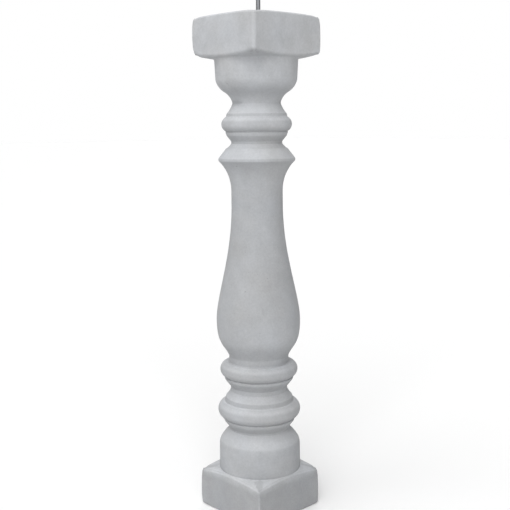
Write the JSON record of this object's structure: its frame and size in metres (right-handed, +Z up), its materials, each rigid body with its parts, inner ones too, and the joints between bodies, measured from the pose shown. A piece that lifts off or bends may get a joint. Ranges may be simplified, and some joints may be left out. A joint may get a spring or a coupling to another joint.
{
  "type": "baluster",
  "caption": "Cast cement baluster with square end blocks, turned bead mouldings, a vase-shaped shaft and a steel bar standing out of its head.",
  "frame": {"origin": "centre of the underside, which the baluster stands on", "axes": "+Z up along the shaft's axis, X and Y square to the faces of the blocks"},
  "size_m": [0.1274, 0.1274, 0.7635],
  "materials": {
    "cement": "matte, smooth cast cement, pale cool grey with faint mottling and small air holes",
    "bar_steel": "plain rolled steel bar, dull grey with mill scale"
  },
  "bodies": {
    "root": {"cement_body": "cement", "steel_bar": "bar_steel"}
  },
  "joints": []
}
